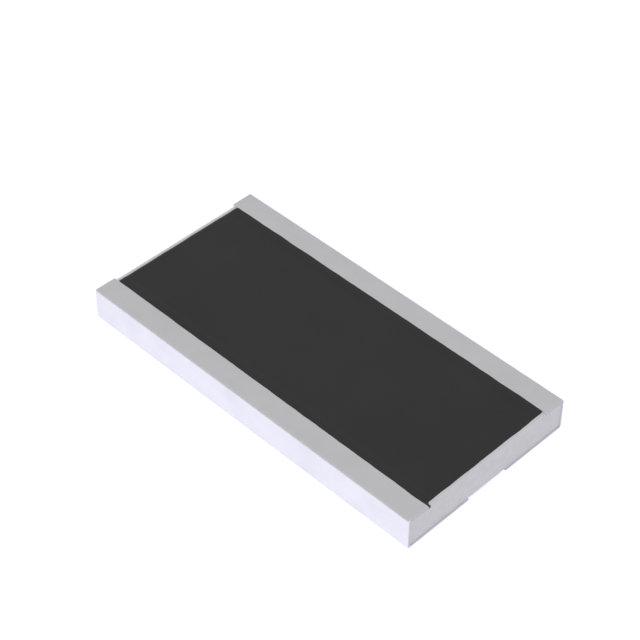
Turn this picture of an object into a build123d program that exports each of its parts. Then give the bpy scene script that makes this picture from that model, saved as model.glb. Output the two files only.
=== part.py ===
from build123d import *
import os

os.makedirs("parts", exist_ok=True)

# A thick-film chip resistor for surface mounting, with its two solder terminals
# along the long sides. All sizes are in millimetres.
# X runs along the terminals, Y from the front terminal to the back one, Z up.
# The origin is the centre of the underside, in the plane of the solder pads.

# Ceramic substrate, scored and snapped from a larger fired sheet
ceramic_length = 6.36
ceramic_width = 3.15
ceramic_thickness = 0.50
ceramic_edge_radius = 0.01
scribe_depth = 0.05
scribe_setback = 0.012
corner_break = 0.015

# Thickness of each layer, from the ceramic outwards
top_electrode_thickness = 0.010
bottom_electrode_thickness = 0.010
film_thickness = 0.008
glass_thickness = 0.005
coat_thickness = 0.009
side_electrode_thickness = 0.005
nickel_thickness = 0.010
tin_thickness = 0.010

# Printed edges: run of the slope for each unit of its height, and corners seen from above
print_slope = 1.5
print_corner_radius = 0.06

# Top electrodes: a band along each long side, and a shorter tab that reaches under the film
band_width = 0.34
tab_width = 0.16
tab_length = 6.08

# Bottom electrodes: wide pads whose inner edges are feathered
pad_width = 1.165
pad_feather = 0.065

# Resistive film and the two coats over it
film_length = 5.90
film_overlap = 0.10
glass_margin = 0.015
coat_length = 6.24
coat_overlap = 0.005
levelling_run = 0.09
levelling_radius = 0.30

# Laser trim: an L cut that enters at the near end and turns along the current
trim_width = 0.04
trim_entry = -0.25
trim_plunge = 1.10
trim_leg = 0.42
trim_turn_radius = 0.05

# Side electrodes: how far each one reaches over the top and under the bottom
top_leg = 0.28
bottom_leg = 0.32
leg_feather = 0.02
wrap_radius = 0.018

# Platings: rounding of their ends, over the snapped edges
plated_end_radius = 0.01

# Heights
pad_face = side_electrode_thickness + nickel_thickness + tin_thickness
ceramic_bottom = pad_face + bottom_electrode_thickness
ceramic_top = ceramic_bottom + ceramic_thickness
electrode_top = ceramic_top + top_electrode_thickness

# Distances from the middle, along X and across Y
ceramic_end = ceramic_length / 2
ceramic_side = ceramic_width / 2
side_outer = ceramic_side + side_electrode_thickness
electrode_outer = ceramic_side - ceramic_edge_radius
band_inner = ceramic_side - band_width
band_crest = band_inner + print_slope * top_electrode_thickness
tab_inner = band_inner - tab_width
tab_crest = tab_inner + print_slope * top_electrode_thickness
pad_inner = ceramic_side - pad_width
pad_crest = pad_inner + pad_feather
top_leg_inner = side_outer - top_leg
bottom_leg_inner = side_outer - bottom_leg


def snapped_envelope():
    """What snapping the sheet leaves of the ceramic and of all that is printed on it."""
    sheet_top = ceramic_top + ceramic_bottom
    with BuildPart() as envelope:
        # Seen from the front: half a scribed groove along the top and bottom of each end
        with BuildSketch(Plane.XZ):
            with BuildLine():
                Polyline(
                    (0, 0),
                    (ceramic_end - scribe_setback, 0),
                    (ceramic_end - scribe_setback, ceramic_bottom),
                    (ceramic_end, ceramic_bottom + scribe_depth),
                    (ceramic_end, ceramic_top - scribe_depth),
                    (ceramic_end - scribe_setback, ceramic_top),
                    (ceramic_end - scribe_setback, sheet_top),
                    (0, sheet_top),
                    close=True,
                )
            make_face()
            mirror(about=Plane.YZ)
        extrude(amount=ceramic_width, both=True)
        # Seen from above: the broken corners
        with BuildSketch(Plane.XY):
            with BuildLine():
                Polyline(
                    (0, ceramic_width),
                    (ceramic_end - corner_break, ceramic_width),
                    (ceramic_end - corner_break, ceramic_side),
                    (ceramic_end, ceramic_side - corner_break),
                    (ceramic_end, 0),
                    (0, 0),
                    close=True,
                )
            make_face()
            mirror(about=Plane.YZ)
            mirror(about=Plane.XZ)
        extrude(amount=sheet_top, mode=Mode.INTERSECT)
    return envelope.part


def printed_mound(edge, end, rise, step_run, step_radius):
    """The outer surface of a printed layer, as a solid down to the ceramic. It is rise above the
    ceramic in the middle and above the electrode tabs beside it, and ends at edge from the middle
    in Y and at end in X. The layers under it are taken out of it afterwards."""
    middle = ceramic_top + rise
    rim = electrode_top + rise
    step = (tab_inner + tab_crest) / 2
    slope_run = print_slope * (rim - ceramic_top)
    with BuildPart() as mound:
        with BuildSketch(Plane.YZ):
            with BuildLine():
                surface = FilletPolyline(
                    (0, middle),
                    (step - step_run / 2, middle),
                    (step + step_run / 2, rim),
                    (edge - print_slope * rise, rim),
                    (edge, electrode_top),
                    radius=[step_radius, step_radius, 0],
                )
                Polyline(surface @ 1, (edge, ceramic_top), (0, ceramic_top), surface @ 0)
            make_face()
            mirror(about=Plane.YZ)
        extrude(amount=end, both=True)
        with BuildSketch(Plane.XZ):
            with BuildLine():
                Polyline(
                    (-end, ceramic_top),
                    (-end + slope_run, rim),
                    (end - slope_run, rim),
                    (end, ceramic_top),
                    close=True,
                )
            make_face()
        extrude(amount=edge, both=True, mode=Mode.INTERSECT)
        with BuildSketch(Plane.XY.offset(ceramic_top)):
            RectangleRounded(2 * end, 2 * edge, print_corner_radius)
        extrude(amount=rim - ceramic_top, mode=Mode.INTERSECT)
    return mound.part


def plated_wrap(growth):
    """The outer surface of the back plating once it has grown this far from the side electrode: a
    C in section with closed, rounded ends. The pieces under it are taken out of it afterwards."""
    outer = side_outer + growth
    over_band = electrode_top + growth
    over_leg = over_band + side_electrode_thickness
    under_pad = pad_face - growth
    under_leg = under_pad - side_electrode_thickness
    lip_bottom = ceramic_bottom + growth
    lip_top = ceramic_top - growth
    lip_side = ceramic_side - growth
    end = ceramic_end + growth
    corner = wrap_radius + growth
    end_corner = plated_end_radius + growth
    with BuildPart() as wrap:
        with BuildSketch(Plane.YZ):
            with BuildLine():
                surface = FilletPolyline(
                    (band_inner - growth, over_band),
                    (top_leg_inner, over_band),
                    (top_leg_inner + leg_feather, over_leg),
                    (outer, over_leg),
                    (outer, under_leg),
                    (bottom_leg_inner + leg_feather, under_leg),
                    (bottom_leg_inner, under_pad),
                    (pad_crest, under_pad),
                    (pad_inner - growth, ceramic_bottom),
                    radius=[0, 0, corner, corner, 0, 0, 0],
                )
                Polyline(
                    surface @ 1,
                    (pad_inner - growth, lip_bottom),
                    (lip_side, lip_bottom),
                    (lip_side, lip_top),
                    (band_inner - growth, lip_top),
                    surface @ 0,
                )
            make_face()
        extrude(amount=end, both=True)
        # Rounded ends, seen from the front and from above
        with BuildSketch(Plane.XZ):
            with Locations((0, (over_leg + under_leg) / 2)):
                RectangleRounded(2 * end, over_leg - under_leg, end_corner)
        extrude(amount=outer, both=True, mode=Mode.INTERSECT)
        with BuildSketch(Plane.XY):
            RectangleRounded(2 * end, 2 * outer, end_corner)
        extrude(amount=over_leg, mode=Mode.INTERSECT)
    return wrap.part


snapped = snapped_envelope()

# Ceramic substrate
with BuildPart() as ceramic_substrate:
    with BuildSketch(Plane.YZ):
        with Locations((0, ceramic_bottom + ceramic_thickness / 2)):
            RectangleRounded(ceramic_width, ceramic_thickness, ceramic_edge_radius)
    extrude(amount=ceramic_end, both=True)
    add(snapped, mode=Mode.INTERSECT)

# Top electrodes: the band runs the whole length, the tab only as far as the film needs
with BuildPart() as top_electrode_back:
    with BuildSketch(Plane.YZ):
        with BuildLine():
            Polyline(
                (band_inner, ceramic_top),
                (band_crest, electrode_top),
                (electrode_outer, electrode_top),
                (electrode_outer, ceramic_top),
                close=True,
            )
        make_face()
    extrude(amount=ceramic_end, both=True)
    with BuildSketch(Plane.YZ):
        with BuildLine():
            Polyline(
                (tab_inner, ceramic_top),
                (tab_crest, electrode_top),
                (electrode_outer, electrode_top),
                (electrode_outer, ceramic_top),
                close=True,
            )
        make_face()
    extrude(amount=tab_length / 2, both=True)
    add(snapped, mode=Mode.INTERSECT)

with BuildPart() as top_electrode_front:
    mirror(top_electrode_back.part, about=Plane.XZ)

# Bottom electrodes
with BuildPart() as bottom_electrode_back:
    with BuildSketch(Plane.YZ):
        with BuildLine():
            Polyline(
                (pad_inner, ceramic_bottom),
                (pad_crest, pad_face),
                (electrode_outer, pad_face),
                (electrode_outer, ceramic_bottom),
                close=True,
            )
        make_face()
    extrude(amount=ceramic_end, both=True)
    add(snapped, mode=Mode.INTERSECT)

with BuildPart() as bottom_electrode_front:
    mirror(bottom_electrode_back.part, about=Plane.XZ)

# The laser's path through the film and the glass, down to the ceramic
film_end = film_length / 2
film_edge = tab_inner + film_overlap
trim_depth = film_thickness + glass_thickness + top_electrode_thickness
with BuildPart() as trim_cut:
    with BuildSketch(Plane.XY.offset(ceramic_top)):
        with BuildLine():
            FilletPolyline(
                (film_end + glass_margin + trim_width, trim_entry),
                (film_end - trim_plunge, trim_entry),
                (film_end - trim_plunge, trim_entry + trim_leg),
                radius=trim_turn_radius,
            )
        trace(line_width=trim_width)
    extrude(amount=trim_depth)

# Resistive film, draped over the inner edges of both top electrodes
with BuildPart() as resistive_film:
    add(printed_mound(film_edge, film_end, film_thickness, tab_crest - tab_inner, 0))
    add(top_electrode_back.part, mode=Mode.SUBTRACT)
    add(top_electrode_front.part, mode=Mode.SUBTRACT)
    add(trim_cut.part, mode=Mode.SUBTRACT)

# Glass over the film, cut by the same laser pass
glass_edge = film_edge + glass_margin
glass_end = film_end + glass_margin
glass_rise = film_thickness + glass_thickness
with BuildPart() as inner_glass_coat:
    add(printed_mound(glass_edge, glass_end, glass_rise, tab_crest - tab_inner, 0))
    add(resistive_film.part, mode=Mode.SUBTRACT)
    add(top_electrode_back.part, mode=Mode.SUBTRACT)
    add(top_electrode_front.part, mode=Mode.SUBTRACT)
    add(trim_cut.part, mode=Mode.SUBTRACT)

# Black resin overcoat, which levels out over the steps and fills the trim cut
coat_edge = band_inner + coat_overlap
coat_rise = glass_rise + coat_thickness
with BuildPart() as protective_coat:
    add(printed_mound(coat_edge, coat_length / 2, coat_rise, levelling_run, levelling_radius))
    add(inner_glass_coat.part, mode=Mode.SUBTRACT)
    add(resistive_film.part, mode=Mode.SUBTRACT)
    add(top_electrode_back.part, mode=Mode.SUBTRACT)
    add(top_electrode_front.part, mode=Mode.SUBTRACT)

# Side electrodes, wrapped round each long edge before the ends are snapped
leg_top = electrode_top + side_electrode_thickness
leg_bottom = pad_face - side_electrode_thickness
with BuildPart() as side_electrode_back:
    with BuildSketch(Plane.YZ):
        with BuildLine():
            wrap_line = FilletPolyline(
                (top_leg_inner, electrode_top),
                (top_leg_inner + leg_feather, leg_top),
                (side_outer, leg_top),
                (side_outer, leg_bottom),
                (bottom_leg_inner + leg_feather, leg_bottom),
                (bottom_leg_inner, pad_face),
                radius=[0, wrap_radius, wrap_radius, 0],
            )
            Line(wrap_line @ 1, wrap_line @ 0)
        make_face()
    extrude(amount=ceramic_end, both=True)
    add(snapped, mode=Mode.INTERSECT)
    add(ceramic_substrate.part, mode=Mode.SUBTRACT)
    add(top_electrode_back.part, mode=Mode.SUBTRACT)
    add(bottom_electrode_back.part, mode=Mode.SUBTRACT)

with BuildPart() as side_electrode_front:
    mirror(side_electrode_back.part, about=Plane.XZ)

# Nickel barrier, plated over all the bare metal and a little way past it
with BuildPart() as nickel_barrier_back:
    add(plated_wrap(nickel_thickness))
    add(ceramic_substrate.part, mode=Mode.SUBTRACT)
    add(top_electrode_back.part, mode=Mode.SUBTRACT)
    add(bottom_electrode_back.part, mode=Mode.SUBTRACT)
    add(side_electrode_back.part, mode=Mode.SUBTRACT)
    add(protective_coat.part, mode=Mode.SUBTRACT)

with BuildPart() as nickel_barrier_front:
    mirror(nickel_barrier_back.part, about=Plane.XZ)

# Matte tin, plated over the nickel
with BuildPart() as tin_plating_back:
    add(plated_wrap(nickel_thickness + tin_thickness))
    add(ceramic_substrate.part, mode=Mode.SUBTRACT)
    add(top_electrode_back.part, mode=Mode.SUBTRACT)
    add(bottom_electrode_back.part, mode=Mode.SUBTRACT)
    add(side_electrode_back.part, mode=Mode.SUBTRACT)
    add(nickel_barrier_back.part, mode=Mode.SUBTRACT)
    add(protective_coat.part, mode=Mode.SUBTRACT)

with BuildPart() as tin_plating_front:
    mirror(tin_plating_back.part, about=Plane.XZ)

pieces = {
    "ceramic_substrate": ceramic_substrate,
    "top_electrode_front": top_electrode_front,
    "top_electrode_back": top_electrode_back,
    "bottom_electrode_front": bottom_electrode_front,
    "bottom_electrode_back": bottom_electrode_back,
    "resistive_film": resistive_film,
    "inner_glass_coat": inner_glass_coat,
    "protective_coat": protective_coat,
    "side_electrode_front": side_electrode_front,
    "side_electrode_back": side_electrode_back,
    "nickel_barrier_front": nickel_barrier_front,
    "nickel_barrier_back": nickel_barrier_back,
    "tin_plating_front": tin_plating_front,
    "tin_plating_back": tin_plating_back,
}
for name, piece in pieces.items():
    piece.part.label = name
    export_step(piece.part, f"parts/{name}.step")
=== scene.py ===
"""The looks of a chip resistor whose two solder terminals run along its long sides.

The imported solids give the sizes. The pieces that show follow a rule, and each is made by its own
geometry node tree: the tin that wraps each long edge is folded from a flat blank, the resin over
the film is raised from one, and the ceramic is a block whose ends are snapped. The layers between
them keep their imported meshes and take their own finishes.
"""

import logging
import math
from dataclasses import dataclass, field
from enum import Enum, IntEnum
from functools import cache

import bpy
import numpy as np
from mathutils import Matrix, Vector

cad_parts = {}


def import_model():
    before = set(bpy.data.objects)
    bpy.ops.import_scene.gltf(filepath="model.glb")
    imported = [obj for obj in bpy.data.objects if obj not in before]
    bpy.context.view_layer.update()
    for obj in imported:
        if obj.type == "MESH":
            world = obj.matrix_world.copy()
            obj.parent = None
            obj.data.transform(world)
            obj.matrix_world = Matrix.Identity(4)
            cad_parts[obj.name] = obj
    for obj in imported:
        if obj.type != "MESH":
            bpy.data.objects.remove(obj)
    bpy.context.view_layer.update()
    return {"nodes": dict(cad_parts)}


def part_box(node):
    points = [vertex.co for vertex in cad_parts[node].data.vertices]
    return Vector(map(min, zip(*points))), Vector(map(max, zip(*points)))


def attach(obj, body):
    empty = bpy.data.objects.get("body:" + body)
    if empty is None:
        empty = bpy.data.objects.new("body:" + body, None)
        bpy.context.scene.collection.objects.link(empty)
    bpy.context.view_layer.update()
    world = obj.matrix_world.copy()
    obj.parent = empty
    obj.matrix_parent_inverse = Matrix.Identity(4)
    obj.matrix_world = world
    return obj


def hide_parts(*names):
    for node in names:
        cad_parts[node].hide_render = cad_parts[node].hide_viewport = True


MM = 0.001
MICRON = 0.000001
NEXT_TO_NOTHING = 0.01 * MICRON
ROOT = "root"
LOG = logging.getLogger("chip_resistor")

Colour = tuple[float, float, float]
Socket = bpy.types.NodeSocket


class Rise(Enum):
    """How a ramp climbs, by Blender's name for it."""

    STRAIGHT = "LINEAR"
    SMOOTH = "SMOOTHSTEP"


class Term:
    """A socket's value, which plain arithmetic extends by Math nodes."""

    def __init__(self, sheet: "NodeSheet", socket: Socket) -> None:
        """Keep the sheet that further nodes go on, and the socket that gives the value."""
        self.sheet = sheet
        self.socket = socket

    def math(self, operation: str, *others: "Term | float") -> "Term":
        """Add one Math node whose first operand is this value.

        Args:
            operation: Blender's name for the operation.
            others: The operands after the first.

        Returns:
            The node's result.
        """
        return self.sheet.math(operation, self, *others)

    def __add__(self, other: "Term | float") -> "Term":
        """Sum."""
        return self.math("ADD", other)

    def __radd__(self, other: float) -> "Term":
        """Sum with a number in front."""
        return self.sheet.math("ADD", other, self)

    def __sub__(self, other: "Term | float") -> "Term":
        """Difference."""
        return self.math("SUBTRACT", other)

    def __rsub__(self, other: float) -> "Term":
        """Difference with a number in front."""
        return self.sheet.math("SUBTRACT", other, self)

    def __mul__(self, other: "Term | float") -> "Term":
        """Product."""
        return self.math("MULTIPLY", other)

    def __rmul__(self, other: float) -> "Term":
        """Product with a number in front."""
        return self.sheet.math("MULTIPLY", other, self)

    def __truediv__(self, other: "Term | float") -> "Term":
        """Quotient."""
        return self.math("DIVIDE", other)

    def __pow__(self, other: "Term | float") -> "Term":
        """Power."""
        return self.math("POWER", other)

    def __abs__(self) -> "Term":
        """Size without its sign."""
        return self.math("ABSOLUTE")

    def sign(self) -> "Term":
        """Minus one, zero or one."""
        return self.math("SIGN")

    def sin(self) -> "Term":
        """Sine of an angle in radians."""
        return self.math("SINE")

    def cos(self) -> "Term":
        """Cosine of an angle in radians."""
        return self.math("COSINE")

    def least(self, other: "Term | float") -> "Term":
        """The smaller of two values."""
        return self.math("MINIMUM", other)

    def most(self, other: "Term | float") -> "Term":
        """The larger of two values."""
        return self.math("MAXIMUM", other)

    def ramp(
        self, start: "Term | float", end: "Term | float", rise: Rise = Rise.STRAIGHT
    ) -> "Term":
        """Climb from 0 at start to 1 at end, and stay level outside.

        Args:
            start: Where the ramp is still 0.
            end: Where it has reached 1.
            rise: Whether it climbs straight or without corners.

        Returns:
            The ramp's value.
        """
        return self.sheet.value(
            "ShaderNodeMapRange",
            {"interpolation_type": rise.value, "clamp": True},
            {"Value": self, "From Min": start, "From Max": end},
        )


class NodeSheet:
    """A node tree that is filled in one node at a time."""

    def __init__(self, tree: bpy.types.NodeTree) -> None:
        """Keep the tree."""
        self.tree = tree

    def node(
        self, kind: str, settings: dict | None = None, sockets: dict | None = None
    ) -> bpy.types.Node:
        """Add one node of any type.

        Args:
            kind: The node's type.
            settings: The node's own properties, which are set first.
            sockets: Input names or numbers, each with a value, a term, a socket to link, or a
                list of sockets.

        Returns:
            The new node.
        """
        made = self.tree.nodes.new(kind)
        for name, value in (settings or {}).items():
            setattr(made, name, value)
        for key, value in (sockets or {}).items():
            for item in value if isinstance(value, list) else [value]:
                if isinstance(item, Term):
                    self.tree.links.new(item.socket, made.inputs[key])
                elif isinstance(item, Socket):
                    self.tree.links.new(item, made.inputs[key])
                else:
                    made.inputs[key].default_value = item
        return made

    def value(
        self,
        kind: str,
        settings: dict | None = None,
        sockets: dict | None = None,
        output: int | str = 0,
    ) -> Term:
        """Add one node and give one of its outputs as a term.

        Args:
            kind: The node's type.
            settings: The node's own properties.
            sockets: Its inputs.
            output: The output's name or number.

        Returns:
            The output.
        """
        return Term(self, self.node(kind, settings, sockets).outputs[output])

    def math(self, operation: str, *operands: Term | float) -> Term:
        """One Math node on the operands."""
        return self.value("ShaderNodeMath", {"operation": operation}, dict(enumerate(operands)))

    def split(self, vector: Term) -> tuple[Term, Term, Term]:
        """Take a vector apart.

        Args:
            vector: The vector.

        Returns:
            Its three parts.
        """
        parts = self.node("ShaderNodeSeparateXYZ", sockets={0: vector}).outputs
        return Term(self, parts[0]), Term(self, parts[1]), Term(self, parts[2])

    def join(self, x: Term | float, y: Term | float, z: Term | float) -> Term:
        """A vector of three parts."""
        return self.value("ShaderNodeCombineXYZ", sockets={0: x, 1: y, 2: z})

    def turned(self, place: Term, angle: float, scale: tuple[float, float, float]) -> Term:
        """A place turned about Z and then scaled along each axis."""
        sockets = {"Vector": place, "Rotation": (0.0, 0.0, angle), "Scale": scale}
        return self.value("ShaderNodeMapping", {"vector_type": "TEXTURE"}, sockets)

    def noise(self, place: Term, size: float, seed: Term | float, detail: float = 2.0) -> Term:
        """Soft noise in space.

        Args:
            place: Where it is read, in metres.
            size: The width of one blot, in metres.
            seed: Picks the pattern.
            detail: How many finer layers lie on it.

        Returns:
            A value about 0.5.
        """
        return self.value(
            "ShaderNodeTexNoise",
            {"noise_dimensions": "4D"},
            {"Vector": place, "W": seed, "Scale": 1 / size, "Detail": detail},
        )

    def cells(self, place: Term, size: float) -> Term:
        """A packing of grains.

        Args:
            place: Where it is read, in metres.
            size: The width of one grain, in metres.

        Returns:
            The distance from the nearest grain's middle, as a share of its width.
        """
        sockets = {"Vector": place, "Scale": 1 / size}
        return self.value("ShaderNodeTexVoronoi", sockets=sockets, output="Distance")

    def blend(self, first: Term | Colour, second: Term | Colour, share: Term) -> Term:
        """Mix two colours.

        Args:
            first: The colour at share 0.
            second: The colour at share 1.
            share: How much of the second shows.

        Returns:
            The mixed colour.
        """
        from_colour, to_colour = (
            colour if isinstance(colour, Term) else (*colour, 1.0) for colour in (first, second)
        )
        settings = {"data_type": "RGBA", "clamp_factor": True}
        sockets = {0: share, 6: from_colour, 7: to_colour}
        return self.value("ShaderNodeMix", settings, sockets, output=2)


def new_material(name: str) -> tuple[bpy.types.Material, NodeSheet]:
    """Start a material that has no nodes yet.

    Args:
        name: The material's name.

    Returns:
        The material, and the sheet that its nodes go on.
    """
    made = bpy.data.materials.new(name)
    made.use_nodes = True
    made.node_tree.nodes.clear()
    return made, NodeSheet(made.node_tree)


@dataclass
class Surface:
    """What a finish varies over a surface."""

    colour: Term
    roughness: Term
    height: Term


@dataclass(frozen=True)
class Finish:
    """A material: two colours that it wanders between, its roughness and its relief."""

    name: str
    slot: str
    light: Colour
    dark: Colour
    roughness: float
    roughness_spread: float
    metallic: float
    relief: float
    grain: float
    mottle: float
    ior: float = 1.5
    seed: float = 1.0

    def surface(self, sheet: NodeSheet, place: Term) -> Surface:
        """Draw the pattern: grains, and slow blotches over them.

        Args:
            sheet: The material's nodes.
            place: The point on the object, in metres.

        Returns:
            The varying colour, roughness and height.
        """
        grains = sheet.noise(place, self.grain, self.seed, detail=3.0)
        blotch = sheet.noise(place, self.mottle, self.seed + 1.0)
        tone = (0.6 * blotch + 0.4 * grains).ramp(0.35, 0.65)
        colour = sheet.blend(self.light, self.dark, tone)
        roughness = self.roughness + self.roughness_spread * (blotch - 0.5)
        return Surface(colour, roughness, grains)

    @cache
    def material(self) -> bpy.types.Material:
        """Build the material at the first call, and give the same one after that.

        Returns:
            The material that holds the pattern.
        """
        made, sheet = new_material(self.name)
        place = sheet.value("ShaderNodeTexCoord", output="Object")
        surface = self.surface(sheet, place)
        relief = sheet.value(
            "ShaderNodeBump",
            sockets={"Strength": 1.0, "Distance": self.relief, "Height": surface.height},
        )
        shader = sheet.node(
            "ShaderNodeBsdfPrincipled",
            sockets={
                "Base Color": surface.colour,
                "Roughness": surface.roughness,
                "Metallic": self.metallic,
                "IOR": self.ior,
                "Normal": relief,
            },
        )
        sheet.node("ShaderNodeOutputMaterial", sockets={"Surface": shader.outputs[0]})
        made.diffuse_color = (*self.light, 1.0)
        return made


@dataclass(frozen=True)
class MatteTin(Finish):
    """Matte tin plated in a barrel: fine crystals, faint clouds, edges that the tumbling has
    polished, and a rougher finish and painted shade where it creeps over the snapped ends."""

    crystal: float = 9 * MICRON
    dull_and_shade_from: float = 3.184 * MM
    dull_and_shade_to: float = 3.198 * MM
    # The colour of the painted shade that darkens the tin on the snapped ends
    painted_end_shade: Colour = (0.56, 0.56, 0.58)
    dull_roughness: float = 0.12
    polished: Colour = (0.88, 0.875, 0.90)
    mid_height: float = 0.285 * MM
    corner_sum: float = 1.885 * MM
    polish_reach: float = 0.055 * MM
    knock: float = 45 * MICRON

    def surface(self, sheet: NodeSheet, place: Term) -> Surface:
        """Draw crystals over soft clouds, polish the long edges, roughen the ends and darken them
        with painted shade.

        Args:
            sheet: The material's nodes.
            place: The point on the object, in metres.

        Returns:
            The varying colour, roughness and height.
        """
        x, y, z = sheet.split(place)
        crystals = sheet.cells(place, self.crystal)
        pebble = sheet.noise(place, self.grain, self.seed, detail=3.0)
        clouds = sheet.noise(place, self.mottle, self.seed + 1.0, detail=3.0)
        knocks = sheet.noise(place, self.knock, self.seed + 2.0, detail=2.0)
        tone = 0.5 * clouds.ramp(0.35, 0.65) + 0.3 * pebble + 0.2 * crystals
        plain = sheet.blend(self.light, self.dark, tone)
        to_corner = abs(y) + abs(z - self.mid_height)
        polish_from = self.corner_sum - self.polish_reach
        near_edge = to_corner.ramp(polish_from, self.corner_sum, Rise.SMOOTH)
        polish = near_edge * knocks.ramp(0.42, 0.58)
        bright = sheet.blend(plain, self.polished, polish)
        on_end = abs(x).ramp(self.dull_and_shade_from, self.dull_and_shade_to, Rise.SMOOTH)
        above_pad = z.ramp(0.0, self.mid_height / 3)
        # Painted shade on the ends: it darkens the tin there, less of it towards the pad
        skin = on_end * (0.5 + 0.4 * above_pad + 0.1 * pebble)
        colour = sheet.blend(bright, self.painted_end_shade, skin)
        roughness = self.roughness + self.roughness_spread * (clouds + 0.5 * pebble - 0.75 - polish)
        height = 0.4 * crystals + (0.7 + 0.6 * on_end) * pebble
        return Surface(colour, roughness + self.dull_roughness * on_end, height)


@dataclass(frozen=True)
class PrintedResin(Finish):
    """Screen-printed resin: the weave of the screen, almost levelled out, specks of pigment, and
    faint scuffs from handling."""

    weave_pitch: float = 78 * MICRON
    weave_share: float = 0.14
    filler: float = 9 * MICRON
    speck: float = 22 * MICRON
    scuff_width: float = 7 * MICRON
    scuff_length: float = 0.6 * MM
    scuff_turns: tuple[float, float] = (math.radians(24), math.radians(-51))

    def scuffs(self, sheet: NodeSheet, place: Term) -> Term:
        """Draw thin rubbed lines in two directions.

        Args:
            sheet: The material's nodes.
            place: The point on the object, in metres.

        Returns:
            1 on a scuff and 0 beside it.
        """
        stretch = (self.scuff_length / self.scuff_width, 1.0, 1.0)
        seed = self.seed + 3.0
        first, second = (
            sheet.noise(sheet.turned(place, turn, stretch), self.scuff_width, seed + turn)
            for turn in self.scuff_turns
        )
        worn = sheet.noise(place, self.mottle, self.seed + 5.0).ramp(0.45, 0.62)
        return worn * first.most(second).ramp(0.66, 0.74)

    def surface(self, sheet: NodeSheet, place: Term) -> Surface:
        """Draw the weave's print, the orange peel, the specks and the scuffs.

        Args:
            sheet: The material's nodes.
            place: The point on the object, in metres.

        Returns:
            The varying colour, roughness and height.
        """
        x, y, _ = sheet.split(place)
        turn = 2 * math.pi / (math.sqrt(2) * self.weave_pitch)
        weave = (turn * (x + y)).sin() * (turn * (x - y)).sin()
        peel = sheet.noise(place, self.grain, self.seed, detail=3.0)
        drift = sheet.noise(place, self.mottle, self.seed + 1.0)
        specks = 1 - sheet.cells(place, self.speck).ramp(0.10, 0.22)
        scuffs = self.scuffs(sheet, place)
        tone = 0.6 * drift.ramp(0.3, 0.7) + 0.3 * peel - 0.25 * specks + 0.5 * scuffs
        colour = sheet.blend(self.dark, self.light, tone)
        roughness = self.roughness + self.roughness_spread * (peel + drift - 1.0 - scuffs)
        height = 0.7 * peel + 0.3 * sheet.noise(place, self.filler, self.seed + 2.0)
        return Surface(colour, roughness, height + self.weave_share * weave)


@dataclass(frozen=True)
class FiredAlumina(Finish):
    """Fired alumina: close grains, a darker tone where the snapped ends lie deeper, and one
    spot of painted shade, as dark as the resin, on the edge at the end of the coat's tail."""

    chip_end: float = 3.18 * MM
    break_depth: float = 8 * MICRON
    # Where a spot of painted shade lies: the shaded notch at the end of the coat's tail
    shade_spot: tuple[float, float, float] = (3.178 * MM, -1.171 * MM, 0.517 * MM)
    shade_spot_radius: float = 0.035 * MM
    shade_spot_raggedness: float = 1.6
    # The colour of that spot of painted shade, as dark as the resin
    resin: Colour = (0.035, 0.035, 0.035)

    def surface(self, sheet: NodeSheet, place: Term) -> Surface:
        """Draw the grains, darken the hollows of the broken ends and paint a spot of shade by the
        coat's tail.

        Args:
            sheet: The material's nodes.
            place: The point on the object, in metres.

        Returns:
            The varying colour, roughness and height.
        """
        x, _, _ = sheet.split(place)
        # The broken ends are darker where they lie deeper
        hollow = 1 - abs(x).ramp(self.chip_end - self.break_depth, self.chip_end)
        at_end = abs(x).ramp(self.chip_end - 2 * self.break_depth, self.chip_end - self.break_depth)
        grains = sheet.cells(place, self.grain)
        clouds = sheet.noise(place, self.mottle, self.seed, detail=4.0)
        tone = 0.45 * clouds.ramp(0.3, 0.7) + 0.25 * grains + 0.5 * hollow * at_end
        bare = sheet.blend(self.light, self.dark, tone)
        # A ragged spot of painted shade, as dark as the resin, by the coat's tail
        ends = {0: place, 1: self.shade_spot}
        from_shade_spot = sheet.value("ShaderNodeVectorMath", {"operation": "DISTANCE"}, ends, "Value")
        ragged = from_shade_spot + self.shade_spot_raggedness * self.shade_spot_radius * (clouds - 0.5)
        in_shade_spot = 1 - ragged.ramp(0.7 * self.shade_spot_radius, self.shade_spot_radius, Rise.SMOOTH)
        colour = sheet.blend(bare, self.resin, in_shade_spot)
        roughness = self.roughness + self.roughness_spread * (clouds - 0.5)
        fine = sheet.noise(place, self.grain / 2, self.seed + 2.0)
        return Surface(colour, roughness, 0.3 * clouds + 0.4 * grains + 0.3 * fine)


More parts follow.
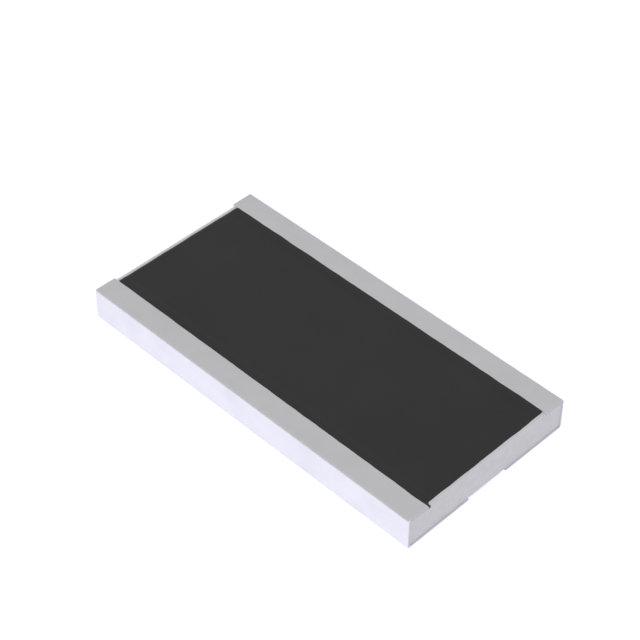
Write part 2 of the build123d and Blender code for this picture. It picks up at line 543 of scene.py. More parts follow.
class Finishes(Enum):
    """Every finish on and inside the chip."""

    TIN = MatteTin(
        "matte_tin", "tin_plating", (0.855, 0.85, 0.882), (0.79, 0.785, 0.817),
        roughness=0.50, roughness_spread=0.16, metallic=1.0,
        relief=2.2 * MICRON, grain=20 * MICRON, mottle=0.5 * MM, seed=3.0,
    )
    RESIN = PrintedResin(
        "screened_resin", "black_resin", (0.027, 0.027, 0.027), (0.019, 0.019, 0.019),
        roughness=0.52, roughness_spread=0.10, metallic=0.0,
        relief=1.8 * MICRON, grain=38 * MICRON, mottle=0.9 * MM, ior=1.45, seed=11.0,
    )
    ALUMINA = FiredAlumina(
        "fired_alumina", "alumina_ceramic", (0.83, 0.825, 0.87), (0.73, 0.725, 0.765),
        roughness=0.62, roughness_spread=0.12, metallic=0.0,
        relief=3.0 * MICRON, grain=11 * MICRON, mottle=0.12 * MM, ior=1.6, seed=23.0,
    )
    SILVER = Finish(
        "fired_silver", "silver_print", (0.86, 0.84, 0.80), (0.70, 0.67, 0.62),
        roughness=0.42, roughness_spread=0.20, metallic=1.0,
        relief=1.5 * MICRON, grain=10 * MICRON, mottle=0.2 * MM, seed=31.0,
    )
    FILM = Finish(
        "resistive_glaze", "resistive_film", (0.035, 0.036, 0.040), (0.018, 0.018, 0.020),
        roughness=0.30, roughness_spread=0.15, metallic=0.0,
        relief=0.6 * MICRON, grain=8 * MICRON, mottle=0.3 * MM, ior=1.7, seed=37.0,
    )
    GLASS = Finish(
        "glass_glaze", "glass_coat", (0.16, 0.26, 0.20), (0.10, 0.19, 0.15),
        roughness=0.14, roughness_spread=0.08, metallic=0.0,
        relief=0.4 * MICRON, grain=40 * MICRON, mottle=0.4 * MM, ior=1.6, seed=41.0,
    )
    SIDE_METAL = Finish(
        "sputtered_side_metal", "side_metal", (0.52, 0.51, 0.50), (0.42, 0.41, 0.40),
        roughness=0.36, roughness_spread=0.16, metallic=1.0,
        relief=0.8 * MICRON, grain=6 * MICRON, mottle=0.25 * MM, seed=43.0,
    )
    NICKEL = Finish(
        "nickel_barrier", "nickel_plating", (0.66, 0.62, 0.56), (0.56, 0.52, 0.46),
        roughness=0.34, roughness_spread=0.14, metallic=1.0,
        relief=0.8 * MICRON, grain=9 * MICRON, mottle=0.3 * MM, seed=47.0,
    )


class Side(Enum):
    """Which long side of the chip: the value is its direction along Y."""

    FRONT = -1
    BACK = 1


@dataclass(frozen=True)
class PrintedEdge:
    """How far a printed edge wanders from its line, and in which pattern."""

    seed: float
    wander: float = 9 * MICRON
    wavelength: float = 0.35 * MM

    def shift(self, sheet: NodeSheet, along: Term) -> Term:
        """The edge's distance from its line.

        Args:
            sheet: The tree that it is drawn in.
            along: The place along the edge, in metres.

        Returns:
            The shift, in metres, to either side.
        """
        noise = sheet.value(
            "ShaderNodeTexNoise",
            {"noise_dimensions": "1D"},
            {"W": along / self.wavelength + self.seed, "Scale": 1.0, "Detail": 3.0},
        )
        return 2 * self.wander * (noise - 0.5)


EDGE_BESIDE_COAT = {Side.FRONT: PrintedEdge(seed=5.3), Side.BACK: PrintedEdge(seed=19.7)}


@dataclass(frozen=True)
class ChipSizes:
    """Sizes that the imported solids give, in metres from the middle of the underside."""

    ceramic_end: float
    ceramic_side: float
    ceramic_bottom: float
    ceramic_top: float
    electrode_top: float
    tab_inner: float
    coat_end: float
    coat_side: float
    coat_top: float
    glass_end: float
    glass_side: float
    glass_top: float
    pad_inner: float
    leg_side: float
    leg_top: float
    leg_bottom: float
    bottom_leg_inner: float
    nickel: float
    plating: float

    @classmethod
    def from_frame(cls) -> "ChipSizes":
        """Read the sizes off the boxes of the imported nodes.

        Returns:
            The sizes.
        """
        ceramic_low, ceramic_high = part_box("ceramic_substrate")
        band_low, band_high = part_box("top_electrode_back")
        pad_low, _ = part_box("bottom_electrode_back")
        leg_low, leg_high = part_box("side_electrode_back")
        _, coat_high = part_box("protective_coat")
        _, glass_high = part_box("inner_glass_coat")
        _, nickel_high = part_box("nickel_barrier_back")
        _, tin_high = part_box("tin_plating_back")
        return cls(
            ceramic_end=ceramic_high.x,
            ceramic_side=ceramic_high.y,
            ceramic_bottom=ceramic_low.z,
            ceramic_top=ceramic_high.z,
            electrode_top=band_high.z,
            tab_inner=band_low.y,
            coat_end=coat_high.x,
            coat_side=coat_high.y,
            coat_top=coat_high.z,
            glass_end=glass_high.x,
            glass_side=glass_high.y,
            glass_top=glass_high.z,
            pad_inner=pad_low.y,
            leg_side=leg_high.y,
            leg_top=leg_high.z,
            leg_bottom=leg_low.z,
            bottom_leg_inner=leg_low.y,
            nickel=nickel_high.x - ceramic_high.x,
            plating=tin_high.x - ceramic_high.x,
        )


class RuledPiece:
    """A piece whose mesh a geometry node tree makes from a plain blank and named sizes."""

    weld_distance = 0.02 * MICRON
    sharp_angle = math.radians(50)

    def __init__(self, name: str, finish: Finishes) -> None:
        """Start the tree.

        Args:
            name: The piece's name.
            finish: What it is made of.
        """
        self.name = name
        self.finish = finish.value
        self.tree = bpy.data.node_groups.new(f"{name}_rule", "GeometryNodeTree")
        self.sheet = NodeSheet(self.tree)
        self.sizes: dict[str, float] = {}
        self.tree.interface.new_socket("Blank", in_out="INPUT", socket_type="NodeSocketGeometry")
        self.tree.interface.new_socket("Piece", in_out="OUTPUT", socket_type="NodeSocketGeometry")
        self.group_input = self.sheet.node("NodeGroupInput")

    def size(self, name: str, value: float | None = None) -> Term:
        """One of the tree's named inputs, which is made when its value is first given.

        Args:
            name: The input's name.
            value: What this piece sets there, or none to read an input that is there already.

        Returns:
            The input as a term.
        """
        if name not in self.group_input.outputs:
            made = self.tree.interface.new_socket(
                name, in_out="INPUT", socket_type="NodeSocketFloat"
            )
            self.sizes[made.identifier] = value
        return Term(self.sheet, self.group_input.outputs[name])

    def place(self) -> tuple[Term, Term, Term]:
        """The three coordinates of a point of the blank."""
        return self.sheet.split(self.sheet.value("GeometryNodeInputPosition"))

    def rounded(
        self, a: Term, b: Term, half_a: Term, half_b: Term, radius: Term
    ) -> tuple[Term, Term]:
        """Bring the points near a rectangle's corners in onto arcs.

        Args:
            a: A point's place along one side of the rectangle, from the middle.
            b: Its place along the other side.
            half_a: Half the rectangle's extent along the first.
            half_b: Half its extent along the second.
            radius: The corners' radius.

        Returns:
            Both places, moved.
        """
        past_a = (abs(a) - half_a + radius).most(0.0)
        past_b = (abs(b) - half_b + radius).most(0.0)
        reach = (past_a * past_a + past_b * past_b).math("SQRT")
        near_corner = reach.math("GREATER_THAN", NEXT_TO_NOTHING)
        pull = (1 - past_a.most(past_b) / reach.most(NEXT_TO_NOTHING)) * near_corner
        return a - a.sign() * past_a * pull, b - b.sign() * past_b * pull

    def moved(self, geometry: Socket, position: Term) -> Socket:
        """The geometry with its points set to new places."""
        sockets = {"Geometry": geometry, "Position": position}
        return self.sheet.node("GeometryNodeSetPosition", sockets=sockets).outputs[0]

    def closed(self, outer: Socket, inner: Socket) -> Socket:
        """Turn the inner skin round and weld it to the outer one.

        Args:
            outer: The skin whose faces already point outwards.
            inner: The skin that shares the outer one's border.

        Returns:
            One closed shell.
        """
        turned = self.sheet.node("GeometryNodeFlipFaces", sockets={"Mesh": inner}).outputs[0]
        joined = self.sheet.node("GeometryNodeJoinGeometry", sockets={0: [outer, turned]})
        welded = self.sheet.node(
            "GeometryNodeMergeByDistance",
            sockets={"Geometry": joined.outputs[0], "Distance": self.weld_distance},
        )
        return welded.outputs[0]

    def finished(self, geometry: Socket, blank: bpy.types.Mesh) -> bpy.types.Object:
        """End the tree, run it on the blank and keep the result as a plain mesh.

        Args:
            geometry: What the tree has made.
            blank: The mesh that it starts from.

        Returns:
            The piece, as an object with a mesh and no modifier.
        """
        real = self.sheet.node("GeometryNodeRealizeInstances", sockets={0: geometry})
        sockets = {"Geometry": real.outputs[0], "Material": self.finish.material()}
        dressed = self.sheet.node("GeometryNodeSetMaterial", sockets=sockets)
        self.sheet.node("NodeGroupOutput", sockets={0: dressed.outputs[0]})
        piece = bpy.data.objects.new(self.name, blank)
        bpy.context.scene.collection.objects.link(piece)
        rule = piece.modifiers.new("rule", "NODES")
        rule.node_group = self.tree
        for identifier, value in self.sizes.items():
            rule[identifier] = value
        depsgraph = bpy.context.evaluated_depsgraph_get()
        mesh = bpy.data.meshes.new_from_object(piece.evaluated_get(depsgraph), depsgraph=depsgraph)
        piece.modifiers.remove(rule)
        piece.data = mesh
        mesh.name = self.name
        while mesh.materials[0] is None:
            mesh.materials.pop(index=0)
        mesh.shade_smooth()
        mesh.set_sharp_from_angle(angle=self.sharp_angle)
        bpy.data.meshes.remove(blank)
        bpy.data.node_groups.remove(self.tree)
        return piece


def even(start: float, end: float, steps: int) -> list[float]:
    """Evenly spaced stations from start up to, but not including, end."""
    return list(np.linspace(start, end, steps, endpoint=False))


def counted(steps: dict[IntEnum, int]) -> list[float]:
    """Stations that divide each stage evenly, with the last stage's end."""
    divided = [place for stage, count in steps.items() for place in even(stage, stage + 1, count)]
    return [*divided, float(len(steps))]


def flat_blank(name: str, across: list[float], along: list[float]) -> bpy.types.Mesh:
    """A flat grid of quads that face up.

    Args:
        name: The mesh's name.
        across: The stations in X.
        along: The stations in Y.

    Returns:
        The grid. Its attribute border is 1 on its edge and 0 inside.
    """
    rows, columns = len(along), len(across)
    x, y = np.meshgrid(across, along)
    points = np.stack([x, y, np.zeros_like(x)], axis=-1).reshape(-1, 3)
    corner = (np.arange(rows - 1)[:, None] * columns + np.arange(columns - 1)).ravel()
    faces = np.stack([corner, corner + 1, corner + columns + 1, corner + columns], axis=-1)
    mesh = bpy.data.meshes.new(name)
    mesh.from_pydata(points.tolist(), [], faces.tolist())
    border = np.zeros((rows, columns), np.float32)
    border[[0, -1], :] = 1.0
    border[:, [0, -1]] = 1.0
    mesh.attributes.new("border", "FLOAT", "POINT").data.foreach_set("value", border.ravel())
    return mesh


class Around(IntEnum):
    """The stages of a terminal's section, from its edge on top of the chip to its edge below."""

    INNER_WALL = 0
    INNER_RIM = 1
    TOP = 2
    UPPER_CORNER = 3
    FACE = 4
    LOWER_CORNER = 5
    PAD = 6
    TOE = 7
    TOE_WALL = 8


class Along(IntEnum):
    """The stages of a terminal's length, from its middle to its lip's edge on the chip's end."""

    RUN = 0
    END_CORNER = 1
    LIP = 2
    LIP_RIM = 3
    LIP_WALL = 4


@dataclass
class Terminal:
    """A tin terminal, folded round one long edge of the chip and closed over both its ends."""

    chip: ChipSizes
    side: Side
    top_leg: float = 0.28 * MM
    coat_overlap: float = 0.005 * MM
    pad_feather: float = 0.065 * MM
    leg_feather: float = 0.02 * MM
    section_radius: float = 0.018 * MM
    end_radius: float = 0.01 * MM
    rim_radius: float = 0.008 * MM
    least_radius: float = 0.003 * MM
    scribe_setback: float = 0.012 * MM
    toe_edge: PrintedEdge = PrintedEdge(seed=41.2, wander=10 * MICRON)
    around_steps: dict[Around, int] = field(
        default_factory=lambda: {
            Around.INNER_WALL: 1,
            Around.INNER_RIM: 4,
            Around.TOP: 26,
            Around.UPPER_CORNER: 9,
            Around.FACE: 18,
            Around.LOWER_CORNER: 9,
            Around.PAD: 44,
            Around.TOE: 5,
            Around.TOE_WALL: 2,
        }
    )
    along_steps: dict[Along, int] = field(
        default_factory=lambda: {
            Along.RUN: 84,
            Along.END_CORNER: 8,
            Along.LIP: 2,
            Along.LIP_RIM: 4,
            Along.LIP_WALL: 1,
        }
    )

    def name(self) -> str:
        """The piece's name."""
        return f"tin_terminal_{self.side.name.lower()}"

    def blank(self) -> bpy.types.Mesh:
        """The flat grid whose coordinates count the stages along and around the terminal.

        Returns:
            The grid, whose X runs along the terminal and whose Y runs round it.
        """
        half = counted(self.along_steps)
        return flat_blank(self.name(), [-s for s in half[:0:-1]] + half, counted(self.around_steps))

    def skin(self, piece: RuledPiece, label: str, growth: float, rim: float) -> Term:
        """One skin of the plating, once it has grown so far from the metal under it.

        Args:
            piece: The piece whose tree is drawn.
            label: The skin's name, which its inputs carry.
            growth: The plating's thickness here.
            rim: The radius of its free edges.

        Returns:
            The position of each point of the blank.
        """
        chip = self.chip
        sheet = piece.sheet
        u, v, _ = piece.place()
        away = abs(u)

        def stage(of: Term, start: int) -> Term:
            """How far a point has gone through one stage, from 0 to 1."""
            return of.ramp(start, start + 1)

        def stair(place: Term, edge: Term) -> Term:
            """0 where the side electrode lies underneath, and 1 past its feathered edge."""
            return 1 - place.ramp(edge, edge + leg_feather, Rise.SMOOTH)

        grown = piece.size(f"{label} growth", growth)
        rim_radius = piece.size(f"{label} rim radius", rim)
        direction = piece.size("Side, -1 in front and 1 behind", float(self.side.value))
        length = piece.size("Half length to the end corners", chip.ceramic_end - self.end_radius)
        end_radius = piece.size("End radius", self.end_radius)
        section_radius = piece.size("Section radius", self.section_radius)
        least_radius = piece.size("Least radius", self.least_radius)
        leg_side = piece.size("Side electrode, outer side", chip.leg_side)
        leg_top = piece.size("Side electrode, top", chip.leg_top)
        leg_bottom = piece.size("Side electrode, bottom", chip.leg_bottom)
        leg_height = piece.size("Side electrode, thickness", chip.leg_top - chip.electrode_top)
        leg_feather = piece.size("Side electrode, feathered edge", self.leg_feather)
        top_leg_inner = piece.size("Side electrode, edge on top", chip.leg_side - self.top_leg)
        bottom_leg_inner = piece.size("Side electrode, edge below", chip.bottom_leg_inner)
        coat_edge = piece.size("Edge beside the coat", chip.coat_side - self.coat_overlap)
        pad_inner = piece.size("Pad, inner edge", chip.pad_inner)
        pad_feather = piece.size("Pad, feathered edge", self.pad_feather)
        lip_inset = piece.size("Lip, down from the top", chip.leg_top - chip.ceramic_top)
        lip_from_side = piece.size("Lip, in from the side", chip.leg_side - chip.ceramic_side)
        setback = piece.size("Scribe setback", self.scribe_setback)

        # The quarter turns: the end's corner and its lip, then the section's corners and inner rim
        quarter = math.pi / 2
        bend = quarter * stage(away, Along.END_CORNER)
        lip_bend = quarter * stage(away, Along.LIP_RIM)
        upper = quarter * stage(v, Around.UPPER_CORNER)
        lower = quarter * stage(v, Around.LOWER_CORNER)
        rim_bend = quarter * stage(v, Around.INNER_RIM)

        # The free edges, which wander as the printed layers under them do
        x_flat = length * stage(away, Along.RUN) * u.sign() * direction
        toe_shift = self.toe_edge.shift(sheet, x_flat) - self.toe_edge.wander
        inner = coat_edge + EDGE_BESIDE_COAT[self.side].shift(sheet, x_flat) - grown
        crest = pad_inner + pad_feather + toe_shift
        toe = pad_inner + toe_shift - grown

        # How far the skin stands off the metal: it drops past the side electrode and at its edges
        flat_end = leg_side - section_radius
        top_y = inner + rim_radius + (flat_end - inner - rim_radius) * stage(v, Around.TOP)
        pad_y = flat_end + (crest - flat_end) * stage(v, Around.PAD)
        stepped = leg_height * (stair(top_y, top_leg_inner) + stair(pad_y, bottom_leg_inner))
        wall_height = grown - rim_radius + (chip.electrode_top - chip.ceramic_top)
        toe_rise = grown + (chip.ceramic_bottom - chip.leg_bottom) - leg_height
        under_wall = wall_height * (1 - stage(v, Around.INNER_WALL))
        under_rim = under_wall + rim_radius * (1 - rim_bend.sin())
        thick = grown - under_rim - stepped - toe_rise * stage(v, Around.TOE)
        foot = grown + end_radius + least_radius
        reach = grown - under_rim - foot * stage(v, Around.TOE_WALL)

        # Along the chip: the run, the rounded end, and the lip that turns in on the snapped face
        curl = (thick + end_radius).most(0.0)
        start = thick - curl
        lip_run = start + lip_inset + grown - rim_radius
        offset = (
            start
            + curl * bend.cos()
            - lip_run * stage(away, Along.LIP)
            - rim_radius * lip_bend.sin()
        )
        lip_wall = grown - rim_radius + setback
        x = u.sign() * direction * (
            length * stage(away, Along.RUN)
            + (end_radius + reach) * bend.sin()
            - rim_radius * (1 - lip_bend.cos())
            - lip_wall * stage(away, Along.LIP_WALL)
        )

        # Across it and up: the section, moved out by the offset
        inset = (least_radius - offset).most(section_radius)
        radius = inset + offset
        wider = (lip_inset - lip_from_side) * stage(away, Along.LIP)
        corner_y = leg_side - inset
        corner_top = leg_top - inset
        corner_bottom = leg_bottom + inset
        y = (
            inner
            + rim_radius * (1 - rim_bend.cos())
            + (corner_y - inner - rim_radius) * stage(v, Around.TOP)
            + (radius + wider) * (upper.sin() - 1 + lower.cos())
            + (crest - corner_y) * stage(v, Around.PAD)
            + (toe - crest) * stage(v, Around.TOE)
        )
        z = (
            corner_top
            + radius * upper.cos()
            - (corner_top - corner_bottom) * stage(v, Around.FACE)
            - radius * lower.sin()
        )
        return sheet.join(x, y * direction, z)

    def build(self) -> bpy.types.Object:
        """Fold both skins of the plating, close them and put the piece in its node's place.

        Returns:
            The terminal.
        """
        chip = self.chip
        piece = RuledPiece(self.name(), Finishes.TIN)
        sheet = piece.sheet
        blank = piece.group_input.outputs["Blank"]
        outer = self.skin(piece, "Outer", chip.plating, self.rim_radius)
        within = self.skin(piece, "Inner", chip.nickel, self.rim_radius / 4)
        border = sheet.value(
            "GeometryNodeInputNamedAttribute", {"data_type": "FLOAT"}, {"Name": "border"}
        )
        mixed = {0: border, 4: within, 5: outer}
        inner = sheet.value("ShaderNodeMix", {"data_type": "VECTOR"}, mixed, output=1)
        shell = piece.closed(piece.moved(blank, outer), piece.moved(blank, inner))
        made = piece.finished(shell, self.blank())
        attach(made, ROOT)
        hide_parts(f"tin_plating_{self.side.name.lower()}")
        return made


@dataclass
class Coat:
    """The black resin printed over the film, which rises over the electrodes at its long edges."""

    chip: ChipSizes
    corner_radius: float = 0.06 * MM
    end_slope: float = 0.045 * MM
    side_slope: float = 0.033 * MM
    roundness: float = 1.35
    levelling_run: float = 0.10 * MM
    glass_slope: float = 0.02 * MM
    tab_slope: float = 0.015 * MM
    sag: float = 0.8 * MICRON
    sag_size: float = 0.45 * MM
    sag_seed: float = 7.0
    end_edges: PrintedEdge = PrintedEdge(seed=61.4, wander=8 * MICRON)
    bleed_length: float = 0.058 * MM
    bleed_width: float = 0.040 * MM
    bleed_from_edge: float = 0.058 * MM
    edge_steps: int = 10
    edge_span: float = 0.09 * MM
    middle_pitch: float = 0.036 * MM

    def stations(self, half: float) -> list[float]:
        """Stations across the coat, close together near both its edges.

        Args:
            half: Half the coat's extent.

        Returns:
            The stations from edge to edge.
        """
        flat = half - self.edge_span
        first = even(-half, -flat, self.edge_steps)
        middle = even(-flat, flat, round(2 * flat / self.middle_pitch))
        return [*first, *middle, *even(flat, half, self.edge_steps), half]

    def plan(self, piece: RuledPiece) -> tuple[Term, Term, Term]:
        """Round the blank's corners, let its edges wander and let the resin bleed at one corner.

        Args:
            piece: The piece whose tree is drawn.

        Returns:
            X, Y, and how far up the edge's slope the point is, from 0 to 1.
        """
        sheet = piece.sheet
        px, py, _ = piece.place()
        half_x = piece.size("Half length", self.chip.coat_end)
        half_y = piece.size("Half width", self.chip.coat_side)
        radius = piece.size("Corner radius", self.corner_radius)
        end_slope = piece.size("End slope", self.end_slope)
        side_slope = piece.size("Side slope", self.side_slope)
        bleed_length = piece.size("Bleed length", self.bleed_length)
        bleed_width = piece.size("Bleed width", self.bleed_width)
        bleed_from_edge = piece.size("Bleed from the edge", self.bleed_from_edge)
        x, y = piece.rounded(px, py, half_x, half_y, radius)
        from_end = half_x - abs(px)
        from_side = half_y - abs(py)
        slope = (from_end / end_slope).least(from_side / side_slope).ramp(0.0, 1.0)

        near_side = 1 - from_side.ramp(0.0, 2 * radius)
        near_end = 1 - from_end.ramp(0.0, 2 * radius)
        back = py.math("GREATER_THAN", 0.0)
        front_shift = EDGE_BESIDE_COAT[Side.FRONT].shift(sheet, px)
        back_shift = EDGE_BESIDE_COAT[Side.BACK].shift(sheet, px)
        side_shift = near_side * (back * back_shift + (back - 1) * front_shift)
        end_shift = near_end * px.sign() * self.end_edges.shift(sheet, py + px)
        beside_bleed = abs(py + half_y - bleed_from_edge).ramp(0.0, bleed_width, Rise.SMOOTH)
        bleed = bleed_length * (1 - beside_bleed) * px.ramp(half_x - end_slope, half_x)
        return x + end_shift + bleed, y + side_shift, slope

    def bed(self, piece: RuledPiece, x: Term, y: Term) -> Term:
        """The height of what the resin lies on.

        Args:
            piece: The piece whose tree is drawn.
            x: Place along the chip.
            y: Place across it.

        Returns:
            The height above the underside's plane.
        """
        chip = self.chip
        ground = piece.size("Ceramic level", chip.ceramic_top)
        tab_height = piece.size("Electrode thickness", chip.electrode_top - chip.ceramic_top)
        tab_inner = piece.size("Electrode, inner edge", chip.tab_inner)
        glass_height = piece.size("Film and glass thickness", chip.glass_top - chip.electrode_top)
        glass_end = piece.size("Glass, half length", chip.glass_end)
        glass_side = piece.size("Glass, half width", chip.glass_side)
        half_x = piece.size("Half length")
        over_tab = abs(y).ramp(tab_inner, tab_inner + self.tab_slope)
        over_glass = (glass_end - abs(x)).least(glass_side - abs(y)).ramp(0.0, self.glass_slope)
        short_of_end = (half_x - abs(x)).ramp(0.0, 2 * self.end_slope)
        return ground + tab_height * over_tab * short_of_end + glass_height * over_glass

    def top(self, piece: RuledPiece, x: Term, y: Term, bed: Term, slope: Term) -> Term:
        """The height of the resin's surface, which levels out over the steps and sags a little.

        Args:
            piece: The piece whose tree is drawn.
            x: Place along the chip.
            y: Place across it.
            bed: The height of what it lies on there.
            slope: How far up the edge's slope the point is, from 0 to 1.

        Returns:
            The height above the underside's plane.
        """
        rim = piece.size("Rim level", self.chip.coat_top)
        step = piece.size("Electrode thickness")
        tab_inner = piece.size("Electrode, inner edge")
        half_run = piece.size("Half the levelling run", self.levelling_run / 2)
        roundness = piece.size("Roundness of the edge", self.roundness)
        sag = piece.size("Sag", self.sag)
        seed = piece.size("Ripple seed", self.sag_seed)
        over_tab = abs(y).ramp(tab_inner - half_run, tab_inner + half_run, Rise.SMOOTH)
        ripple = piece.sheet.noise(piece.sheet.join(x, y, 0.0), self.sag_size, seed)
        level = rim - step * (1 - over_tab) - sag * ripple
        return bed + (level - bed) * (1 - (1 - slope) ** roundness)

    def build(self) -> bpy.types.Object:
        """Raise the resin's top from the blank, lay its underside on the bed and close them.

        Returns:
            The coat.
        """
        chip = self.chip
        piece = RuledPiece("resin_coat", Finishes.RESIN)
        sheet = piece.sheet
        x, y, slope = self.plan(piece)
        bed = self.bed(piece, x, y)
        top = self.top(piece, x, y, bed, slope)
        blank = piece.group_input.outputs["Blank"]
        upper = piece.moved(blank, sheet.join(x, y, top))
        lower = piece.moved(blank, sheet.join(x, y, bed))
        stations = [self.stations(half) for half in (chip.coat_end, chip.coat_side)]
        made = piece.finished(piece.closed(upper, lower), flat_blank("resin_coat_blank", *stations))
        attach(made, ROOT)
        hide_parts("protective_coat")
        return made


@dataclass
class Ceramic:
    """The ceramic, whose ends were snapped along grooves that a scribe cut in both its faces."""

    chip: ChipSizes
    edge_radius: float = 0.01 * MM
    scribe_setback: float = 0.012 * MM
    upper_scribe: float = 0.05 * MM
    lower_scribe: float = 0.02 * MM
    pit_pitch: float = 0.085 * MM
    pit_depth: float = 5 * MICRON
    break_depth: float = 7 * MICRON
    break_size: float = 0.055 * MM
    break_seed: float = 29.0
    cell: float = 0.0125 * MM
    steps_along: int = 64

    def setback(self, piece: RuledPiece, x: Term, y: Term, z: Term) -> Term:
        """How far a point of an end lies behind the end's foremost plane.

        Args:
            piece: The piece whose tree is drawn.
            x: Place along the ceramic, from its middle.
            y: Place across it.
            z: Place up it.

        Returns:
            The setback, in metres: 0 away from the ends.
        """
        sheet = piece.sheet
        half_x = piece.size("Half length")
        half_z = piece.size("Half thickness")
        scribe_setback = piece.size("Scribe setback", self.scribe_setback)
        upper_scribe = piece.size("Upper scribe depth", self.upper_scribe)
        lower_scribe = piece.size("Lower scribe depth", self.lower_scribe)
        pit_pitch = piece.size("Pit pitch", self.pit_pitch)
        pit_depth = piece.size("Pit depth", self.pit_depth)
        break_depth = piece.size("Break depth", self.break_depth)
        seed = piece.size("Seed of the break", self.break_seed)

        above = z.math("GREATER_THAN", 0.0)
        scribe = lower_scribe + (upper_scribe - lower_scribe) * above
        groove = (abs(z) - half_z + scribe).ramp(0.0, scribe)
        pits = above * (0.5 + 0.5 * (2 * math.pi * y / pit_pitch).cos())
        place = sheet.join(x, y, 0.5 * z)
        coarse = sheet.noise(place, self.break_size, seed, detail=5.0)
        fine = sheet.noise(place, self.break_size / 3, seed, detail=3.0)
        broken = (0.65 * coarse + 0.35 * fine).ramp(0.3, 0.7)
        at_end = abs(x).math("GREATER_THAN", half_x - MICRON)
        scribed = groove * (scribe_setback + pit_depth * pits)
        snapped = break_depth * broken * (1 - groove.ramp(0.0, 0.3))
        return at_end * (scribed + snapped)

    def build(self) -> bpy.types.Object:
        """Start from a finely divided block, round its long edges and break its ends.

        Returns:
            The ceramic.
        """
        chip = self.chip
        piece = RuledPiece("ceramic_body", Finishes.ALUMINA)
        sheet = piece.sheet
        half_x = piece.size("Half length", chip.ceramic_end)
        half_y = piece.size("Half width", chip.ceramic_side)
        half_z = piece.size("Half thickness", (chip.ceramic_top - chip.ceramic_bottom) / 2)
        middle = piece.size("Middle level", (chip.ceramic_top + chip.ceramic_bottom) / 2)
        radius = piece.size("Edge radius", self.edge_radius)
        block = sheet.node(
            "GeometryNodeMeshCube",
            sockets={
                "Size": sheet.join(2 * half_x, 2 * half_y, 2 * half_z),
                "Vertices X": self.steps_along,
                "Vertices Y": round(2 * chip.ceramic_side / self.cell) + 1,
                "Vertices Z": round((chip.ceramic_top - chip.ceramic_bottom) / self.cell) + 1,
            },
        ).outputs["Mesh"]
        x, y, z = piece.place()
        rounded_y, rounded_z = piece.rounded(y, z, half_y, half_z, radius)
        broken_x = x - x.sign() * self.setback(piece, x, y, z)
        shaped = piece.moved(block, sheet.join(broken_x, rounded_y, rounded_z + middle))
        made = piece.finished(shaped, bpy.data.meshes.new("ceramic_blank"))
        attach(made, ROOT)
        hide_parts("ceramic_substrate")
        return made


@dataclass
class HiddenLayers:
    """The fired, sputtered and plated layers between the ceramic and what shows, each with the
    start of its nodes' names."""

    nodes: dict[str, bpy.types.Object]
    layers: dict[Finishes, tuple[str, ...]] = field(
        default_factory=lambda: {
            Finishes.SILVER: ("top_electrode", "bottom_electrode"),
            Finishes.FILM: ("resistive_film",),
            Finishes.GLASS: ("inner_glass_coat",),
            Finishes.SIDE_METAL: ("side_electrode",),
            Finishes.NICKEL: ("nickel_barrier",),
        }
    )

    def dress(self) -> None:
        """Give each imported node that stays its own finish."""
        for finish, layers in self.layers.items():
            material = finish.value.material()
            for name, node in self.nodes.items():
                if not name.startswith(layers):
                    continue
                if not node.material_slots:
                    node.data.materials.append(material)
                for slot in node.material_slots:
                    slot.material = material
                LOG.info("%s wears %s", name, material.name)


def outward(azimuth: float, elevation: float) -> Vector:
    """The direction from the chip to a camera or a lamp.

    Args:
        azimuth: Its turn about Z from the front, in radians.
        elevation: Its rise from the floor, in radians.

    Returns:
        A vector of length 1.
    """
    flat = math.cos(elevation)
    return Vector((math.sin(azimuth) * flat, -math.cos(azimuth) * flat, math.sin(elevation)))


@dataclass
class PhotoCamera:
    """The camera that took the picture, found from the chip's edges."""

    azimuth: float = math.radians(44.658)
    elevation: float = math.radians(43.407)
    roll: float = math.radians(0.403)
    distance: float = 28.03 * MM
    shift_right: float = -0.039 * MM
    shift_up: float = 0.745 * MM
    focal_pixels: float = 1911.43
    image_pixels: int = 640
    sensor: float = 36.0
    far: float = 2.0

    def build(self) -> bpy.types.Object:
        """Place the camera and make it the scene's own.

        Returns:
            The camera.
        """
        back = outward(self.azimuth, self.elevation)
        level_right = Vector((math.cos(self.azimuth), math.sin(self.azimuth), 0.0))
        level_up = back.cross(level_right)
        right = level_right * math.cos(self.roll) + level_up * math.sin(self.roll)
        up = level_up * math.cos(self.roll) - level_right * math.sin(self.roll)
        data = bpy.data.cameras.new("photo_camera")
        data.sensor_width = self.sensor
        data.lens = self.focal_pixels / self.image_pixels * self.sensor
        data.clip_start = self.distance / 10
        data.clip_end = self.far
        camera = bpy.data.objects.new("photo_camera", data)
        bpy.context.scene.collection.objects.link(camera)
        turn = Matrix((right, up, back)).transposed().to_4x4()
        place = back * self.distance + right * self.shift_right + up * self.shift_up
        camera.matrix_world = Matrix.Translation(place) @ turn
        bpy.context.scene.camera = camera
        return camera


@dataclass(frozen=True)
class Lamp:
    """A soft lamp that faces the chip."""

    name: str
    azimuth: float
    elevation: float
    distance: float
    size: float
    radiance: float

    def build(self) -> bpy.types.Object:
        """Hang the lamp.

        Returns:
            The lamp.
        """
        data = bpy.data.lights.new(self.name, "AREA")
        data.shape = "DISK"
        data.size = self.size
        data.energy = self.radiance * math.pi * (math.pi * self.size**2 / 4)
        lamp = bpy.data.objects.new(self.name, data)
        bpy.context.scene.collection.objects.link(lamp)
        away = outward(self.azimuth, self.elevation)
        facing = away.to_track_quat("Z", "Y").to_matrix().to_4x4()
        lamp.matrix_world = Matrix.Translation(away * self.distance) @ facing
        lamp.visible_camera = False
        return lamp


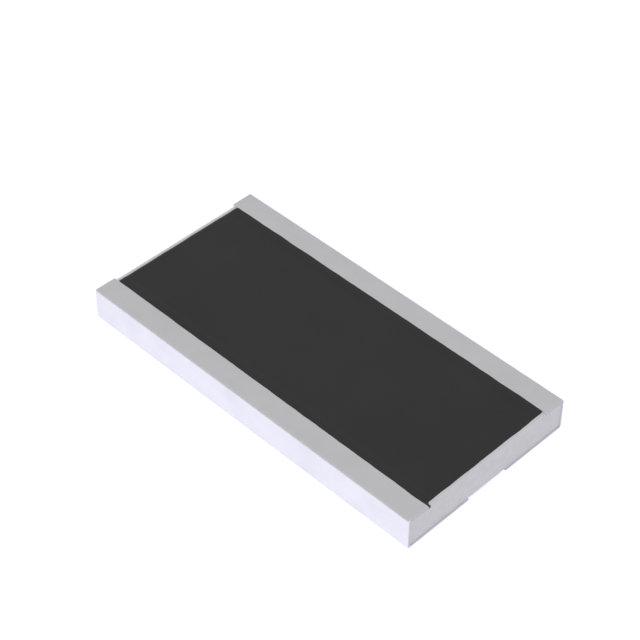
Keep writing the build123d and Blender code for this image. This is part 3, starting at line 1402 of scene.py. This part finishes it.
@dataclass
class Studio:
    """A pale floor that curves up into a low wall all round, an even sky and a soft lamp."""

    hub_radius: float = 0.02
    floor_radius: float = 0.30
    cove_radius: float = 0.03
    floor_colour: Colour = (0.79, 0.79, 0.80)
    fibre_size: float = 2 * MM
    fibre_shade: float = 0.985
    floor_glow: float = 0.56
    glow_colour: Colour = (1.0, 0.99, 1.16)
    sky: Colour = (0.58, 0.58, 0.58)
    segments: int = 96
    cove_steps: int = 12
    key: Lamp = Lamp(
        "key_lamp", math.radians(62), math.radians(36), distance=0.16, size=0.20, radiance=0.62
    )

    def paper(self) -> bpy.types.Material:
        """White paper, which shows as white to the camera and in metal, and still takes shadows.

        Returns:
            The floor's material.
        """
        made, sheet = new_material("studio_paper")
        ray = sheet.node("ShaderNodeLightPath").outputs
        seen = Term(sheet, ray["Is Camera Ray"]) + Term(sheet, ray["Is Glossy Ray"])
        seen = (seen + Term(sheet, ray["Is Transmission Ray"])).least(1.0)
        place = sheet.value("ShaderNodeTexCoord", output="Object")
        fibre = sheet.noise(place, self.fibre_size, seed=3.0, detail=4.0)
        red, green, blue = (self.fibre_shade * part for part in self.floor_colour)
        shader = sheet.node(
            "ShaderNodeBsdfPrincipled",
            sockets={
                "Base Color": sheet.blend(self.floor_colour, (red, green, blue), fibre),
                "Roughness": 0.9,
                "Specular IOR Level": 0.0,
                "Emission Color": sheet.blend((0.0, 0.0, 0.0), self.glow_colour, seen),
                "Emission Strength": self.floor_glow,
            },
        )
        sheet.node("ShaderNodeOutputMaterial", sockets={"Surface": shader.outputs[0]})
        return made

    def floor(self) -> bpy.types.Object:
        """Turn the floor's outline round the chip.

        Returns:
            The floor.
        """
        turns = np.linspace(0, math.pi / 2, self.cove_steps)
        radii = [self.hub_radius, *(self.floor_radius + self.cove_radius * np.sin(turns))]
        heights = [0.0, *(self.cove_radius * (1 - np.cos(turns)))]
        angles = even(0, 2 * math.pi, self.segments)
        points = [(0.0, 0.0, 0.0)]
        for radius, height in zip(radii, heights):
            points += [(radius * math.cos(a), radius * math.sin(a), height) for a in angles]
        count = self.segments
        faces = [(0, 1 + i, 1 + (i + 1) % count) for i in range(count)]
        for ring in range(len(radii) - 1):
            first, second = 1 + ring * count, 1 + (ring + 1) * count
            for i in range(count):
                j = (i + 1) % count
                faces.append((first + i, second + i, second + j, first + j))
        mesh = bpy.data.meshes.new("studio_floor")
        mesh.from_pydata(points, [], faces)
        mesh.shade_smooth()
        mesh.materials.append(self.paper())
        floor = bpy.data.objects.new("studio_floor", mesh)
        bpy.context.scene.collection.objects.link(floor)
        return floor

    def build(self) -> None:
        """Lay the floor, light the sky and hang the lamp."""
        self.floor()
        world = bpy.data.worlds.new("studio_sky")
        world.use_nodes = True
        world.node_tree.nodes.clear()
        sheet = NodeSheet(world.node_tree)
        colour = (*self.sky, 1.0)
        sky = sheet.node("ShaderNodeBackground", sockets={"Color": colour, "Strength": 1.0})
        sheet.node("ShaderNodeOutputWorld", sockets={"Surface": sky.outputs[0]})
        bpy.context.scene.world = world
        self.key.build()
        bpy.context.scene.view_settings.view_transform = "Standard"


def main() -> None:
    """Place the camera, build the chip's pieces in order and set them in the studio."""
    logging.basicConfig(level=logging.INFO, format="%(name)s: %(message)s")
    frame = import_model()
    chip = ChipSizes.from_frame()
    PhotoCamera().build()
    HiddenLayers(frame["nodes"]).dress()
    pieces = [
        Ceramic(chip).build(),
        Coat(chip).build(),
        Terminal(chip, Side.FRONT).build(),
        Terminal(chip, Side.BACK).build(),
    ]
    for piece in pieces:
        LOG.info("%s has %d faces", piece.name, len(piece.data.polygons))
    Studio().build()


if __name__ == "__main__":
    main()
